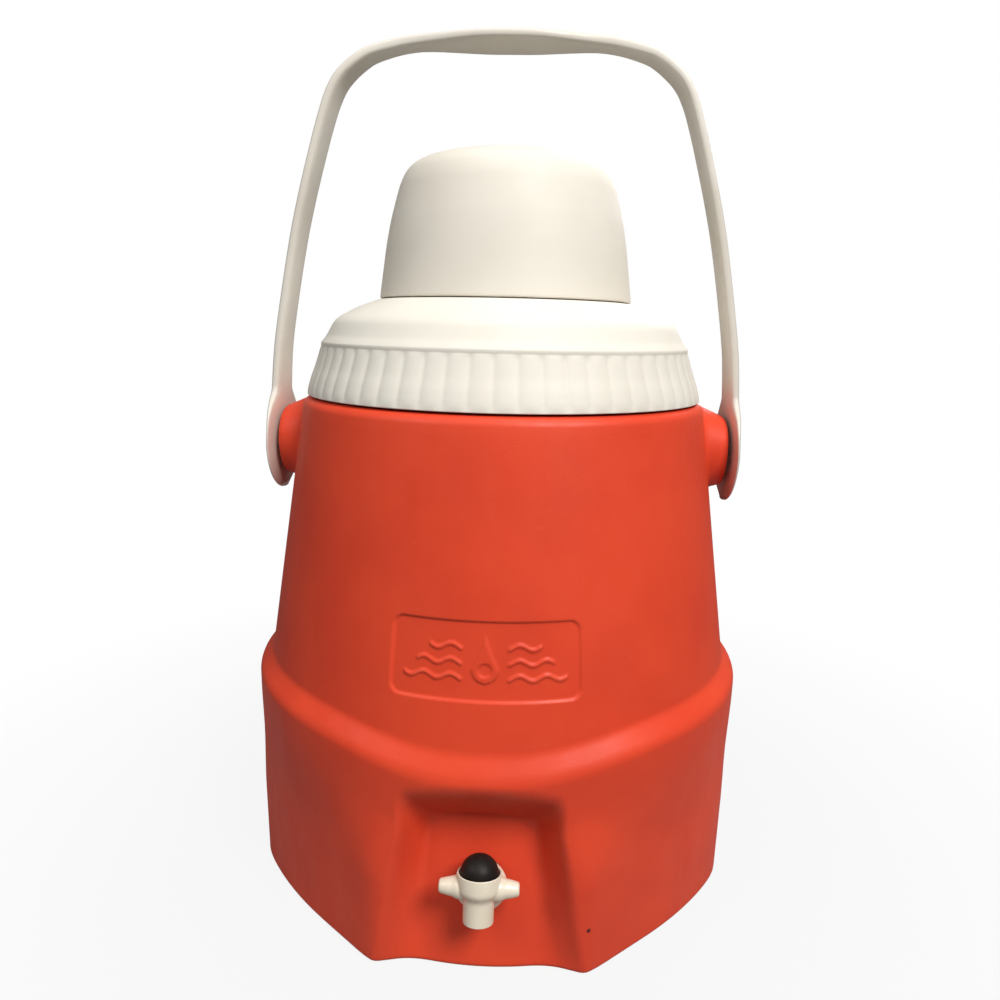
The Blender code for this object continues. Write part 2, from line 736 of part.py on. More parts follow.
def tap_axis():
    """The frame whose Z runs inwards along the tap's shank from the recess floor."""
    return tap_frame() @ Matrix.Rotation(-pi / 2, 4, "X")


def barrel_frame():
    return tap_frame() @ Matrix.Translation((0, -BARREL_OUT, 0))


def make_tap_body():
    barrel = [
        (0, RIM_Z), (BARREL_R, RIM_Z), (BARREL_R, 2.6 * MM), (SPOUT_R + 0.1 * MM, 0.4 * MM),
        (SPOUT_R, SPOUT_FOOT), (0, SPOUT_FOOT),
    ]
    body = piece("tap_body", turned("tap_body", barrel, SMALL_STEPS), "cream", barrel_frame())
    shank = [
        (0, SHANK_LENGTH), (SHANK_R, SHANK_LENGTH), (SHANK_R, -1.8 * MM), (TAP_FLANGE_R, -1.8 * MM),
        (TAP_FLANGE_R, -3.2 * MM), (TAP_FLANGE_R - 0.8 * MM, -3.8 * MM), (7.4 * MM, -4.2 * MM),
        (5.9 * MM, -9.0 * MM), (5.6 * MM, -12.0 * MM), (0, -12.0 * MM),
    ]
    boolean(body, cutter("shank", turned("shank", shank, SMALL_STEPS), tap_axis()), "UNION")
    end = WING_SPAN / 2
    half_wing = [
        (0, end), (WING_R - 0.9 * MM, end), (WING_R - 0.1 * MM, end - 3.2 * MM),
        (WING_R + 0.2 * MM, 10.6 * MM), (WING_ROOT_R, 8.2 * MM),
    ]
    wings = half_wing + [(r, -z) for r, z in reversed(half_wing)]
    sideways = barrel_frame() @ Matrix.Translation((0, 0, WING_Z)) @ Matrix.Rotation(pi / 2, 4, "Y")
    boolean(body, cutter("wings", turned("wings", wings, 24), sideways), "UNION")
    bore = [
        (0, 12 * MM), (8.0 * MM, 12 * MM), (8.0 * MM, 4.2 * MM), (1.9 * MM, 4.2 * MM), (1.9 * MM, 2.9 * MM),
        (4.8 * MM, 2.9 * MM), (4.8 * MM, -2.5 * MM), (3.4 * MM, -2.5 * MM), (3.4 * MM, -3.5 * MM),
        (5.0 * MM, -3.5 * MM), (5.0 * MM, -11 * MM), (0, -11 * MM),
    ]
    barrel_bore = turned("barrel_bore", bore, SMALL_STEPS)
    boolean(body, cutter("barrel_bore", barrel_bore, barrel_frame()), "DIFFERENCE")
    way = cylinder("shank_bore", 2.2 * MM, -BARREL_OUT, SHANK_LENGTH + 2 * MM)
    boolean(body, cutter("shank_bore", way, tap_axis()), "DIFFERENCE")


def make_tap_button():
    skirt, ceiling = 7.6 * MM, 13.8 * MM
    top = RIM_Z + DOME_HEIGHT
    outside = [(0, top)]
    for t in (15, 30, 45, 60, 75, 90):
        outside.append((DOME_R * sin(radians(t)), RIM_Z + DOME_HEIGHT * cos(radians(t))))
    outside += [(DOME_R, skirt)]
    inside = [(5.6 * MM, skirt), (5.6 * MM, 12.0 * MM), (5.2 * MM, ceiling), (0, ceiling)]
    piece("tap_button", turned_open(outside + inside, "tap_button", SMALL_STEPS), "black", barrel_frame())
    stem = [
        (0, 13.5 * MM), (4.6 * MM, 13.5 * MM), (4.6 * MM, 12.5 * MM), (1.5 * MM, 12.5 * MM),
        (1.5 * MM, -4.6 * MM), (0, -4.6 * MM),
    ]
    piece("tap_stem", turned("tap_stem", stem, 24), "cream", barrel_frame())
    valve = [
        (4.4 * MM, -3.8 * MM), (4.4 * MM, -5.4 * MM), (0, -5.4 * MM), (0, -5.0 * MM),
        (1.8 * MM, -5.0 * MM), (1.8 * MM, -3.8 * MM),
    ]
    piece("tap_valve", turned_open(valve, "tap_valve", 24), "rubber", barrel_frame())
    seal = ring_mesh("tap_stem_seal", 1.8 * MM, 4.2 * MM, 4.5 * MM, 5.5 * MM, 24)
    piece("tap_stem_seal", seal, "rubber", barrel_frame())


def make_spring():
    turns, per_turn, coil, wire = 4, 14, 3.2 * MM, 0.4 * MM
    low, high = 5.8 * MM + wire, 12.2 * MM - wire
    data = bpy.data.curves.new("tap_spring", "CURVE")
    data.dimensions = "3D"
    data.bevel_depth = wire
    data.bevel_resolution = 1
    data.use_fill_caps = True
    spline = data.splines.new("POLY")
    count = turns * per_turn + 1
    spline.points.add(count - 1)
    for i, point in enumerate(spline.points):
        a = 2 * pi * i / per_turn
        share = i / (count - 1)
        point.co = (coil * cos(a), coil * sin(a), low + (high - low) * share, 1)
    guide = add_object("spring_guide", data, cutters)
    guide.hide_render = True
    bpy.context.view_layer.update()
    mesh = bpy.data.meshes.new_from_object(guide.evaluated_get(bpy.context.evaluated_depsgraph_get()))
    bm = bmesh.new()
    bm.from_mesh(mesh)
    bmesh.ops.remove_doubles(bm, verts=bm.verts, dist=1e-6)
    bpy.data.objects.remove(guide, do_unlink=True)
    piece("tap_spring", mesh_of(bm, "tap_spring"), "steel", barrel_frame())


def make_tap_fixings():
    gasket = ring_mesh("tap_outer_gasket", 6.0 * MM, 10.2 * MM, -1.5 * MM, -0.3 * MM)
    piece("tap_outer_gasket", gasket, "rubber", tap_axis())
    sleeve = ring_mesh("tap_sleeve", 6.0 * MM, 8.4 * MM, 3.1 * MM, 8.3 * MM)
    piece("tap_sleeve", sleeve, "white", tap_axis())
    seal = ring_mesh("tap_inner_gasket", 6.0 * MM, 9.0 * MM, 17.5 * MM, 19.0 * MM)
    piece("tap_inner_gasket", seal, "rubber", tap_axis())
    nut = piece("tap_nut", cylinder("tap_nut", 10 * MM, 19.3 * MM, 24.3 * MM, 6), "cream", tap_axis())
    bore = cutter("nut_bore", cylinder("nut_bore", SHANK_R + GAP, 18 * MM, 26 * MM), tap_axis())
    boolean(nut, bore, "DIFFERENCE")


FINISHES = {
    "orange": ((0.78, 0.070, 0.025), 0.42),
    "white": ((0.86, 0.83, 0.76), 0.45),
    "cream": ((0.84, 0.79, 0.69), 0.40),
    "black": ((0.020, 0.018, 0.017), 0.50),
    "rubber": ((0.06, 0.06, 0.06), 0.80),
    "foam": ((0.85, 0.72, 0.42), 0.90),
    "steel": ((0.55, 0.55, 0.56), 0.30),
}

clear_scene()
parts = new_collection("drink_dispenser")
cutters = new_collection("cutters")
make_shell()
make_base_cover()
make_foam()
make_tank()
make_lid()
make_vent()
make_cup()
make_handle()
make_tap_body()
make_tap_button()
make_spring()
make_tap_fixings()
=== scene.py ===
import math

import bpy
import numpy as np
from mathutils import Matrix, Vector


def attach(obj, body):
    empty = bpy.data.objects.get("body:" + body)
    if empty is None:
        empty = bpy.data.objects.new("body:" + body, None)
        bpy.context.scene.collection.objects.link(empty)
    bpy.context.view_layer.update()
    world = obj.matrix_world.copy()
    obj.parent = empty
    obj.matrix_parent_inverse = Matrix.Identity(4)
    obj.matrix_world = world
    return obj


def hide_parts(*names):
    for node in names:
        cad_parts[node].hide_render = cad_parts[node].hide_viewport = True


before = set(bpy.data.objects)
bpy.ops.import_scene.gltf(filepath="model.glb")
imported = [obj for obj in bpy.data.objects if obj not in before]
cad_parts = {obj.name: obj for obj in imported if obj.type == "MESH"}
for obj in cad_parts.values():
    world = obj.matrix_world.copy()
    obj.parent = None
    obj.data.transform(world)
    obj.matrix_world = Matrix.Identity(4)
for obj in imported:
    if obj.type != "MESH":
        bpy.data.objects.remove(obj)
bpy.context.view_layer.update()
mm = 0.001
print("frame loaded")


# rounded lesser of two arrays: the plain minimum, less a parabola where they are closer than reach
def softMin(a, b, reach):
    near = np.maximum(reach - np.abs(a - b), 0)
    return np.minimum(a, b) - near * near / (4 * reach)


# rounded greater of two arrays
def softMax(a, b, reach):
    return -softMin(-a, -b, reach)


# 0 below low, 1 above high and an S curve between: t squared times three minus two t
def easeStep(low, high, value):
    t = np.clip((value - low) / (high - low), 0, 1)
    return t * t * (3 - 2 * t)


# a mesh from rows by columns of points in mm: each point joins its neighbours, a closed way wraps
# round, and a tip is one point that the whole first or last row meets
def gridPiece(name, points, closedRows=False, closedColumns=True, firstTip=None, lastTip=None):
    rows, columns = points.shape[:2]
    index = np.arange(rows * columns).reshape(rows, columns)
    if closedColumns:
        index = np.hstack([index, index[:, :1]])
    loop = np.vstack([index, index[:1]]) if closedRows else index
    quads = np.stack([loop[:-1, :-1], loop[:-1, 1:], loop[1:, 1:], loop[1:, :-1]], -1).reshape(-1, 4)
    places = points.reshape(-1, 3)
    triangles = []
    for tip, row, backwards in ((firstTip, index[0], True), (lastTip, index[-1], False)):
        if tip is None:
            continue
        tipIndex = np.full(len(row) - 1, len(places))
        places = np.vstack([places, tip])
        pair = (row[1:], row[:-1]) if backwards else (row[:-1], row[1:])
        triangles.append(np.stack([pair[0], pair[1], tipIndex], -1))
    triangles = np.vstack(triangles) if triangles else np.zeros((0, 3), int)
    split = np.vstack([quads[:, [0, 1, 2]], quads[:, [0, 2, 3]], triangles])
    a, b, c = (places[split[:, k]] for k in range(3))
    if np.einsum("ij,ij->i", a, np.cross(b, c)).sum() < 0:  # inside out
        quads, triangles = quads[:, ::-1], triangles[:, ::-1]
    mesh = bpy.data.meshes.new(name)
    mesh.from_pydata((places * mm).tolist(), [], quads.tolist() + triangles.tolist())
    mesh.shade_smooth()
    piece = bpy.data.objects.new(name, mesh)
    bpy.context.scene.collection.objects.link(piece)
    return piece


# a profile of (radius, height) turned about Z: x = r sin a, y = -r cos a
def turn(profile, steps):
    profile = np.asarray(profile, float)
    angle = np.linspace(0, 2 * np.pi, steps, endpoint=False)
    r, z = profile[:, :1], profile[:, 1:]
    return np.stack([r * np.sin(angle), -r * np.cos(angle), z + 0 * angle], -1)


# an outline with each corner replaced by an arc-like curve: the corner is a parabola's control point
# and the curve starts and ends the given length away from it
def softCorners(outline, cut, closed=True, steps=4):
    pts = [np.array(p[:2], float) for p in outline]
    cuts = [p[2] if len(p) > 2 else cut for p in outline]
    out = []
    count = len(pts)
    for k, corner in enumerate(pts):
        if not closed and k in (0, count - 1):
            out.append(corner)
            continue
        before, after = pts[k - 1] - corner, pts[(k + 1) % count] - corner
        reach = min(cuts[k], 0.45 * np.linalg.norm(before), 0.45 * np.linalg.norm(after))
        if reach < 1e-6:
            out.append(corner)
            continue
        start = corner + before / np.linalg.norm(before) * reach
        end = corner + after / np.linalg.norm(after) * reach
        for t in np.linspace(0, 1, steps + 1):
            out.append((1 - t) ** 2 * start + 2 * t * (1 - t) * corner + t * t * end)
    return np.array(out)


# points placed along a curve through the given ones: a cubic with centred slopes on each span
def smoothPath(points, perSpan):
    p = np.asarray(points, float)
    ends = np.vstack([2 * p[0] - p[1], p, 2 * p[-1] - p[-2]])
    a, b, c, d = (ends[k:len(ends) - 3 + k, None] for k in range(4))
    t = (np.arange(perSpan) / perSpan)[None, :, None]
    square, cube = 2 * a - 5 * b + 4 * c - d, 3 * b - a - 3 * c + d
    curve = 0.5 * (2 * b + (c - a) * t + square * t**2 + cube * t**3)
    return np.vstack([curve.reshape(-1, p.shape[1]), p[-1:]])


# points moved by a four by four matrix
def placed(points, matrix):
    m = np.array(matrix)
    return points @ m[:3, :3].T + m[:3, 3]


# rides on a body, stands for CAD nodes, and takes a finish
def finishPiece(piece, body, slotName, material, *nodes):
    piece.data.materials.clear()
    piece.data.materials.append(material)
    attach(piece, body)
    if nodes:
        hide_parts(*nodes)
    return piece


# lays out one material's nodes and joins them
class NodeBench:
    def __init__(self, name):
        self.material = bpy.data.materials.new(name)
        self.material.use_nodes = True
        self.tree = self.material.node_tree
        self.shader = self.tree.nodes["Principled BSDF"]
        self.place = self.tree.nodes.new("ShaderNodeTexCoord").outputs["Object"]

    def add(self, kind, **settings):
        node = self.tree.nodes.new(kind)
        for key, value in settings.items():
            setattr(node, key, value)
        return node

    def join(self, source, target):
        self.tree.links.new(source, target)

    def noise(self, scale, detail=3.0, rough=0.55, stretch=None):
        node = self.add("ShaderNodeTexNoise")
        node.inputs["Scale"].default_value = scale
        node.inputs["Detail"].default_value = detail
        node.inputs["Roughness"].default_value = rough
        source = self.place
        if stretch is not None:
            mapping = self.add("ShaderNodeMapping")
            mapping.inputs["Scale"].default_value = stretch
            self.join(source, mapping.inputs["Vector"])
            source = mapping.outputs["Vector"]
        self.join(source, node.inputs["Vector"])
        return node.outputs["Fac"]

    def remap(self, source, low, high, toLow, toHigh):
        node = self.add("ShaderNodeMapRange")
        node.interpolation_type = "SMOOTHSTEP"
        for key, value in (("From Min", low), ("From Max", high), ("To Min", toLow), ("To Max", toHigh)):
            node.inputs[key].default_value = value
        self.join(source, node.inputs["Value"])
        return node.outputs["Result"]

    def blend(self, amount, first, second):
        node = self.add("ShaderNodeMix", data_type="RGBA")
        self.join(amount, node.inputs[0])
        for socket, value in ((node.inputs[6], first), (node.inputs[7], second)):
            if isinstance(value, tuple):
                socket.default_value = (*value, 1.0)
            else:
                self.join(value, socket)
        return node.outputs[2]

    def bump(self, source, strength, distance, under=None):
        node = self.add("ShaderNodeBump")
        node.inputs["Strength"].default_value = strength
        node.inputs["Distance"].default_value = distance
        self.join(source, node.inputs["Height"])
        if under is not None:
            self.join(under, node.inputs["Normal"])
        return node.outputs["Normal"]


plainLook = {
    "cloudScale": 22, "fleckScale": 620, "flecks": 0.25, "wear": 0, "scuffScale": 70,
    "scuffStretch": (1, 1, 0.35), "grainScale": 1500, "grain": 0.12, "waveScale": 40, "waves": 0.10,
    "gloss": 0.45, "glow": 0.0, "coat": 0.0,
}


# moulded plastic: cloudy colour, fine grain, faint scuffs, and pale worn edges; a finish's own look
# goes before the plain one
def mouldedFinish(name, ownLook):
    look = {**plainLook, **ownLook}
    bench = NodeBench(name)
    shader = bench.shader
    clouds = bench.remap(bench.noise(look["cloudScale"], 3), 0.35, 0.68, 0, 1)
    colour = bench.blend(clouds, look["colour"], look["cloudColour"])
    specks = bench.noise(look["fleckScale"], 2)
    flecks = bench.remap(specks, 0.66, 0.80, 0, look["flecks"])
    colour = bench.blend(flecks, colour, look["fleckColour"])
    if look["wear"] > 0:
        edges = bench.add("ShaderNodeNewGeometry").outputs["Pointiness"]
        edges = bench.remap(edges, 0.515, 0.56, 0, look["wear"])
        patches = bench.remap(bench.noise(95, 4), 0.42, 0.62, 0, 1)
        both = bench.add("ShaderNodeMath", operation="MULTIPLY")
        bench.join(edges, both.inputs[0])
        bench.join(patches, both.inputs[1])
        colour = bench.blend(both.outputs[0], colour, look["wearColour"])
    bench.join(colour, shader.inputs["Base Color"])
    scuffs = bench.noise(look["scuffScale"], 5, 0.65, look["scuffStretch"])
    low, high = look["roughness"]
    bench.join(bench.remap(scuffs, 0.3, 0.7, low, high), shader.inputs["Roughness"])
    grain = bench.bump(bench.noise(look["grainScale"], 2), look["grain"], 0.0003)
    waves = bench.bump(bench.noise(look["waveScale"], 2), look["waves"], 0.0012, grain)
    bench.join(waves, shader.inputs["Normal"])
    shader.inputs["Specular IOR Level"].default_value = look["gloss"]
    shader.inputs["Subsurface Weight"].default_value = look["glow"]
    shader.inputs["Subsurface Radius"].default_value = (0.006, 0.004, 0.003)
    shader.inputs["Coat Weight"].default_value = look["coat"]
    shader.inputs["Coat Roughness"].default_value = 0.3
    return bench.material


finishLooks = {
    "orange shell plastic": {
        "colour": (0.79, 0.070, 0.026), "cloudColour": (0.73, 0.060, 0.023),
        "fleckColour": (0.84, 0.12, 0.055), "wearColour": (0.86, 0.17, 0.09), "wear": 0.5,
        "roughness": (0.40, 0.52), "grain": 0.16, "flecks": 0.30, "gloss": 0.30,
    },
    "gate mark": {
        "colour": (0.13, 0.015, 0.010), "cloudColour": (0.10, 0.012, 0.008),
        "fleckColour": (0.2, 0.03, 0.02), "roughness": (0.5, 0.6),
    },
    "lid plastic": {
        "colour": (0.80, 0.765, 0.685), "cloudColour": (0.77, 0.73, 0.645),
        "fleckColour": (0.72, 0.67, 0.57), "wearColour": (0.93, 0.91, 0.86), "wear": 0.5,
        "roughness": (0.50, 0.62), "grain": 0.12, "flecks": 0.20, "glow": 0.06, "gloss": 0.3,
    },
    "cup plastic": {
        "colour": (0.79, 0.745, 0.66), "cloudColour": (0.76, 0.71, 0.62),
        "fleckColour": (0.69, 0.64, 0.55), "wearColour": (0.92, 0.90, 0.85), "wear": 0.4,
        "roughness": (0.46, 0.58), "grain": 0.09, "flecks": 0.18, "glow": 0.06, "gloss": 0.3,
    },
    "handle plastic": {
        "colour": (0.74, 0.70, 0.625), "cloudColour": (0.68, 0.635, 0.555),
        "fleckColour": (0.56, 0.51, 0.43), "wearColour": (0.86, 0.83, 0.77), "wear": 0.5,
        "roughness": (0.36, 0.50), "grain": 0.14, "flecks": 0.25, "scuffStretch": (1, 0.3, 0.3),
    },
    "liner plastic": {
        "colour": (0.86, 0.86, 0.83), "cloudColour": (0.82, 0.82, 0.79),
        "fleckColour": (0.70, 0.70, 0.66), "roughness": (0.30, 0.42),
        "grain": 0.06, "glow": 0.05,
    },
    "tap plastic": {
        "colour": (0.85, 0.77, 0.62), "cloudColour": (0.80, 0.71, 0.56),
        "fleckColour": (0.66, 0.60, 0.50), "wearColour": (0.93, 0.90, 0.84), "wear": 0.5,
        "roughness": (0.26, 0.38), "grain": 0.05, "cloudScale": 90, "coat": 0.15,
    },
    "button rubber": {
        "colour": (0.012, 0.010, 0.009), "cloudColour": (0.018, 0.015, 0.013),
        "fleckColour": (0.045, 0.042, 0.04), "roughness": (0.42, 0.60), "grain": 0.35,
        "grainScale": 2600, "cloudScale": 120, "flecks": 0.2, "gloss": 0.2,
    },
    "seal rubber": {
        "colour": (0.045, 0.045, 0.045), "cloudColour": (0.06, 0.06, 0.058),
        "fleckColour": (0.12, 0.12, 0.115), "roughness": (0.60, 0.80),
        "grain": 0.3, "grainScale": 2200,
    },
    "insulating foam": {
        "colour": (0.80, 0.66, 0.36), "cloudColour": (0.73, 0.58, 0.30),
        "fleckColour": (0.50, 0.37, 0.17), "roughness": (0.85, 0.95),
        "grain": 0.9, "grainScale": 900, "flecks": 0.8,
    },
}

finishes = {name: mouldedFinish(name, look) for name, look in finishLooks.items()}


# drawn steel wire: fine grain, with darker oxide in patches
def springSteel():
    bench = NodeBench("spring steel")
    shader = bench.shader
    tarnish = bench.remap(bench.noise(260, 4), 0.42, 0.66, 0, 1)
    bench.join(bench.blend(tarnish, (0.60, 0.60, 0.60), (0.42, 0.40, 0.37)), shader.inputs["Base Color"])
    bench.join(bench.remap(bench.noise(900, 3), 0.3, 0.7, 0.22, 0.42), shader.inputs["Roughness"])
    bench.join(bench.bump(bench.noise(3500, 2), 0.2, 0.0002), shader.inputs["Normal"])
    shader.inputs["Metallic"].default_value = 1.0
    return bench.material


finishes["spring steel"] = springSteel()
print("finishes mixed:", len(finishes))


# orange body shell

shell = {
    "top": 222.0, "topRadius": 93.3, "slope": 0.149, "faceRadius": 113.9, "cornerRadius": 117.85,
    "frontCorner": 4.0, "frontFade": 0.8, "frontSpread": 15, "cornerSoftness": 2.8, "moreSoftness": 7.0,
    "softFrom": (38.0, 88.0), "flare": 0.010, "evenTurns": (0, 22.5, 67.5, 112.5, 180),
    "trueTurns": (0, 20.2, 66.5, 112.5, 180), "ledgeTop": 103.0, "ledgeFoot": 96.6, "dipTop": 7.8,
    "dipFoot": 8.7, "ledgeRadius": 116.4, "swellFrom": 46.0, "creaseRound": 0.8, "edgeRound": 2.0,
    "swellPast": 0.9, "swellTopIn": 8, "dipSpread": 22, "footRound": 2.6, "topRound": 4.0, "wall": 2.5,
    "footWidth": 12.5, "neckOpening": 79.4, "neckChamfer": 0.8,
}
recess = {
    "lean": 12.0, "footY": -111.4, "crown": 3.0, "crownLoss": 0.3, "floorTop": 61.3,
    "ceilingRise": 18.2, "floorHalf": (27.6, 22.0), "mouthHalf": (38.2, 32.2),
    "mouthY": (-110.8, -113.3), "ceilingY": -115.0, "valleyRound": 3.4, "ceilingRound": 1.2,
    "cornerRound": 7.0, "mouthRound": (1.6, 4.0), "roundSpan": (10, 55), "reachUp": 95,
    "reachAround": 40,
}
badge = {
    "foot": 115.9, "top": 146.2, "halfAngle": 19.8, "corner": 4.2, "depth": 0.8, "edge": 0.4,
    "relief": 0.6, "dropRadius": 5.2, "dropTip": 12.5, "dropLow": 3.0, "dropHollow": 2.5,
    "waves": ((-6.2, 9.5, 31.0), (-0.4, 9.5, 26.0), (5.4, 9.5, 21.0)),  # level, start and end of each
    "waveHigh": 1.0, "waveLong": 10.5, "waveHalf": 0.75,
}


# how far the ledge dips: 1 over the tap, a half at the dip's spread to either side, as 0.693 is the
# natural logarithm of two
def frontWeight(angle):
    return np.exp(-0.693 * (np.abs(angle) / math.radians(shell["dipSpread"])) ** 2.5)


# a soft octagon: each side is an arc through two corners and the middle of the side; the true turns to
# the corners are first mapped to those of an even octagon
def octagonRadius(angle, height):
    side = math.radians(45)
    angle = np.sign(angle) * np.interp(
        np.abs(angle), np.radians(shell["trueTurns"]), np.radians(shell["evenTurns"])
    )
    near = easeStep(*shell["softFrom"], height)
    softness = np.radians(shell["cornerSoftness"] + shell["moreSoftness"] * near)
    off = np.abs((angle + side / 2) % side - side / 2)
    off = side / 2 - np.sqrt((side / 2 - off) ** 2 + softness**2)
    fromFront = (np.abs(angle) - side / 2) / math.radians(shell["frontSpread"])
    sharper = shell["frontCorner"] * (1 - shell["frontFade"] * near) * np.exp(-fromFront**2)
    corner = shell["cornerRadius"] + sharper
    middle = shell["faceRadius"]
    centre = (corner**2 - middle**2) / (2 * (middle - corner * math.cos(side / 2)))
    radius = -centre * np.cos(off) + np.sqrt((middle + centre) ** 2 - (centre * np.sin(off)) ** 2)
    return radius * (1 + shell["flare"] * np.clip(height / shell["ledgeFoot"], 0, 1))


# the wall's radius: the cone above, the octagon below, and the sloping ledge that joins them
def bodyRadius(angle, height):
    weight = frontWeight(angle)
    crease = shell["ledgeTop"] - shell["dipTop"] * weight
    edge = shell["ledgeFoot"] - shell["dipFoot"] * weight
    cone = shell["topRadius"] + shell["slope"] * (shell["top"] - height)
    creaseRadius = shell["topRadius"] + shell["slope"] * (shell["top"] - crease)
    ledge = creaseRadius + (crease - height) * (shell["ledgeRadius"] - creaseRadius) / (crease - edge)
    base = octagonRadius(angle, height)
    swell = easeStep(shell["swellFrom"], shell["ledgeFoot"] - shell["swellTopIn"], height)
    base = base + swell * np.maximum(shell["ledgeRadius"] + shell["swellPast"] - base, 0)
    return softMin(base, softMax(cone, ledge, shell["creaseRound"]), shell["edgeRound"])


# the recess as y over (x, z): the least of a leaning crowned floor, two flanks and a sloping ceiling
def recessY(x, z):
    side = np.abs(x)
    up = np.clip(z / recess["floorTop"], 0, 1)
    floorHalf = recess["floorHalf"][0] + (recess["floorHalf"][1] - recess["floorHalf"][0]) * up
    mouthHalf = recess["mouthHalf"][0] + (recess["mouthHalf"][1] - recess["mouthHalf"][0]) * up
    mouthY = recess["mouthY"][0] + (recess["mouthY"][1] - recess["mouthY"][0]) * up
    lean = math.tan(math.radians(recess["lean"]))
    crown = recess["crown"] * (1 - recess["crownLoss"] * up)
    floor = recess["footY"] + z * lean + crown * (side / floorHalf) ** 2
    valleyY = recess["footY"] + np.minimum(z, recess["floorTop"]) * lean + crown
    flank = valleyY + (side - floorHalf) * (mouthY - valleyY) / (mouthHalf - floorHalf)
    ceilingFoot = recess["footY"] + recess["floorTop"] * lean
    ceilingRun = recess["ceilingY"] - ceilingFoot
    ceiling = ceilingFoot + (z - recess["floorTop"]) * ceilingRun / recess["ceilingRise"]
    cut = softMin(floor, flank, recess["valleyRound"])
    rounding = recess["ceilingRound"] + recess["cornerRound"] * easeStep(0.55, 1.0, side / floorHalf)
    return softMin(cut, ceiling, rounding)


# the sunk panel: signed distance to a rounded rectangle, with a raised ornament of a drop between waves
def badgeRelief(angle, height):
    middleZ = (badge["foot"] + badge["top"]) / 2
    radius = shell["topRadius"] + shell["slope"] * (shell["top"] - middleZ)
    across, up = radius * angle, height - middleZ
    halfWide = radius * math.radians(badge["halfAngle"])
    halfTall = (badge["top"] - badge["foot"]) / 2
    outX = np.abs(across) - halfWide + badge["corner"]
    outZ = np.abs(up) - halfTall + badge["corner"]
    away = np.hypot(np.maximum(outX, 0), np.maximum(outZ, 0)) + np.minimum(np.maximum(outX, outZ), 0)
    sunk = -badge["depth"] * (1 - easeStep(-badge["edge"], badge["edge"], away - badge["corner"]))
    dropUp, dropRadius, tip = up + badge["dropLow"], badge["dropRadius"], badge["dropTip"]
    belly = np.sqrt(np.maximum(dropRadius**2 - dropUp**2, 0))
    dropHalf = np.where(dropUp < 0, belly, dropRadius * np.clip(1 - dropUp / tip, 0, 1) ** 1.15)
    side = np.abs(across)
    drop = np.where((dropUp > -dropRadius) & (dropUp < tip), side - dropHalf, 9.0)
    hollow = 1 - easeStep(-0.4, 0.4, np.hypot(across, dropUp + 0.3) - badge["dropHollow"])
    raised = 1 - easeStep(-0.5, 0.3, drop) - hollow
    for level, start, end in badge["waves"]:
        wave = level + badge["waveHigh"] * np.sin(side * 2 * np.pi / badge["waveLong"])
        past = np.maximum(np.maximum(start - side, side - end), 0)
        line = np.hypot(past, up - wave) - badge["waveHalf"]
        raised = np.maximum(raised, 1 - easeStep(-0.45, 0.45, line))
    return sunk + badge["relief"] * raised


# columns are close over the recess and the badge, rows over the recess, the ledge and the badge; the
# outside runs from the foot up over the crown, and the inside runs back down to the foot
def makeShell():
    front = np.radians(np.arange(-26.4, 26.4, 0.3))
    rest = np.radians(np.linspace(26.4, 360 - 26.4, 160, endpoint=False))
    angle = np.concatenate([front, rest])
    signed = np.where(angle > np.pi, angle - 2 * np.pi, angle)[None]
    footTurn = np.radians(np.arange(0, 90, 9))
    low = shell["footRound"] * (1 - np.cos(footTurn))
    rows = np.concatenate([
        low, np.arange(2.6, 54, 1.2), np.arange(54, 84, 0.75), np.arange(84, 107, 0.8),
        np.arange(107, 115, 1.6), np.arange(115, 147.4, 0.5), np.arange(148, 217, 3.0),
    ])
    crownTurn = np.radians(np.arange(0, 91, 10))
    rows = np.concatenate([rows, shell["top"] - shell["topRound"] * (1 - np.sin(crownTurn))])
    z = rows[:, None]
    footIn = np.where(z < shell["footRound"], shell["footRound"] - np.sqrt(
        np.maximum(shell["footRound"] ** 2 - (shell["footRound"] - z) ** 2, 0)), 0)
    overTop = np.maximum(z - shell["top"] + shell["topRound"], 0)
    topIn = shell["topRound"] - np.sqrt(np.maximum(shell["topRound"] ** 2 - overTop**2, 0))

    def wallPoints(z, inset, wallIn):
        radius = bodyRadius(signed, z) + badgeRelief(signed, z) * (inset == 0) - inset
        x, y = radius * np.sin(signed), -radius * np.cos(signed)
        inFront = np.abs(signed) < math.radians(recess["reachAround"])
        low, high = recess["mouthRound"]
        rounding = low + (high - low) * easeStep(*recess["roundSpan"], z)
        y = np.where(inFront & (z < recess["reachUp"]), softMax(y, recessY(x, z) + inset, rounding), y)
        shrink = 1 - wallIn / np.hypot(x, y)
        return np.stack([x * shrink, y * shrink, z + 0 * x], -1)

    outside = wallPoints(z, 0, footIn + topIn)
    opening, top, chamfer = shell["neckOpening"], shell["top"], shell["neckChamfer"]
    neck = [(opening + chamfer, top), (opening, top - chamfer), (opening, top - shell["wall"])]
    neckRing = np.stack([
        np.stack([r * np.sin(angle), -r * np.cos(angle), z + 0 * angle], -1) for r, z in neck
    ])
    downZ = np.array([219.5, 200, 150, 108, 100, 94, 86, 80, 74, 66, 58, 50, 30, 12, 5])[:, None]
    inside = wallPoints(downZ, shell["wall"], 0 * downZ)
    foot = wallPoints(np.array([[2.5], [0.0]]), 0, np.array([[shell["footWidth"]], [shell["footWidth"]]]))
    foot[0, :, 2], foot[1, :, 2] = 2.5, 0.0
    return gridPiece("bodyShell", np.vstack([outside, neckRing, inside, foot]), closedRows=True)


orangePlastic = finishes["orange shell plastic"]
bodyShell = finishPiece(makeShell(), "jug", "orange_shell", orangePlastic, "outer_shell")
print("body shell:", len(bodyShell.data.polygons), "faces")

gateMark = {"angle": 21.2, "height": 21.5, "radius": 0.95, "proud": 0.2, "rooted": 1.5}


